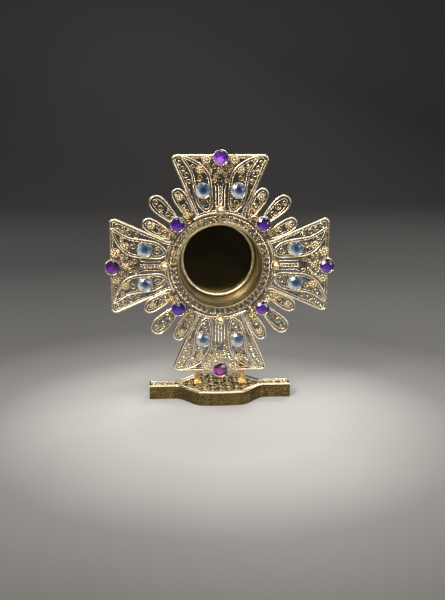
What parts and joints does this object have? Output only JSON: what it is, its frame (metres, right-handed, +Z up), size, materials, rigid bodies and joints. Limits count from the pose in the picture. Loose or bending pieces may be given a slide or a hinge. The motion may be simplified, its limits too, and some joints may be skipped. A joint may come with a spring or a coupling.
{
  "type": "table monstrance",
  "caption": "Small filigree cross-shaped monstrance on an ogee foot, with a jewelled face, an open drum holding a sliding glazed capsule, and a hinged rear lid.",
  "frame": {"origin": "centre of the foot's underside, where it rests on a table", "axes": "+Z up, the jewelled face looks towards -Y, +X to the right seen from the front"},
  "size_m": [0.0822, 0.0309, 0.0906],
  "materials": {
    "gilt_wire": "satin gilt filigree wire",
    "bright_gilt": "polished gilt",
    "antique_gilt": "stamped antique gilt",
    "copper_gilt": "coppery gilt with solder",
    "purple_stone": "faceted foiled glass",
    "clear_stone": "faceted foiled glass",
    "window_glass": "clear glass",
    "dark_cloth": "dark backing cloth"
  },
  "bodies": {
    "root": {"arm_bottom": "gilt_wire", "arm_left": "gilt_wire", "arm_right": "gilt_wire", "arm_top": "gilt_wire", "bead_bottom": "bright_gilt", "bead_left": "bright_gilt", "bead_right": "bright_gilt", "bead_top": "bright_gilt", "bracket_left": "copper_gilt", "bracket_right": "copper_gilt", "cup_clear_bottom_a": "bright_gilt", "cup_clear_bottom_b": "bright_gilt", "cup_clear_left_a": "bright_gilt", "cup_clear_left_b": "bright_gilt", "cup_clear_right_a": "bright_gilt", "cup_clear_right_b": "bright_gilt", "cup_clear_top_a": "bright_gilt", "cup_clear_top_b": "bright_gilt", "cup_lower_left": "bright_gilt", "cup_lower_right": "bright_gilt", "cup_tip_bottom": "bright_gilt", "cup_tip_left": "bright_gilt", "cup_tip_right": "bright_gilt", "cup_tip_top": "bright_gilt", "cup_upper_left": "bright_gilt", "cup_upper_right": "bright_gilt", "drum": "bright_gilt", "foot_floor": "antique_gilt", "foot_rim_wire": "bright_gilt", "foot_skirt": "antique_gilt", "foot_top_panel": "gilt_wire", "halo_band": "gilt_wire", "hinge_leaf": "bright_gilt", "hinge_pin": "bright_gilt", "petals_lower_left": "gilt_wire", "petals_lower_right": "gilt_wire", "petals_upper_left": "gilt_wire", "petals_upper_right": "gilt_wire", "stone_clear_bottom_a": "clear_stone", "stone_clear_bottom_b": "clear_stone", "stone_clear_left_a": "clear_stone", "stone_clear_left_b": "clear_stone", "stone_clear_right_a": "clear_stone", "stone_clear_right_b": "clear_stone", "stone_clear_top_a": "clear_stone", "stone_clear_top_b": "clear_stone", "stone_lower_left": "purple_stone", "stone_lower_right": "purple_stone", "stone_tip_bottom": "purple_stone", "stone_tip_left": "purple_stone", "stone_tip_right": "purple_stone", "stone_tip_top": "purple_stone", "stone_upper_left": "purple_stone", "stone_upper_right": "purple_stone"},
    "rear_lid": {"rear_lid": "bright_gilt"},
    "theca": {"theca_bezel": "bright_gilt", "theca_case": "bright_gilt", "theca_glass": "window_glass", "theca_backing": "dark_cloth"}
  },
  "joints": [
    {"name": "rear_lid_hinge", "type": "hinge", "parent": "root", "child": "rear_lid", "pos_m": [0.01625, 0.0179, 0.0495], "axis": [0, 0, -1], "range_deg": [0, 110]},
    {"name": "theca_slide", "type": "slide", "parent": "root", "child": "theca", "axis": [0, -1, 0], "range_m": [0, 0.024]}
  ]
}
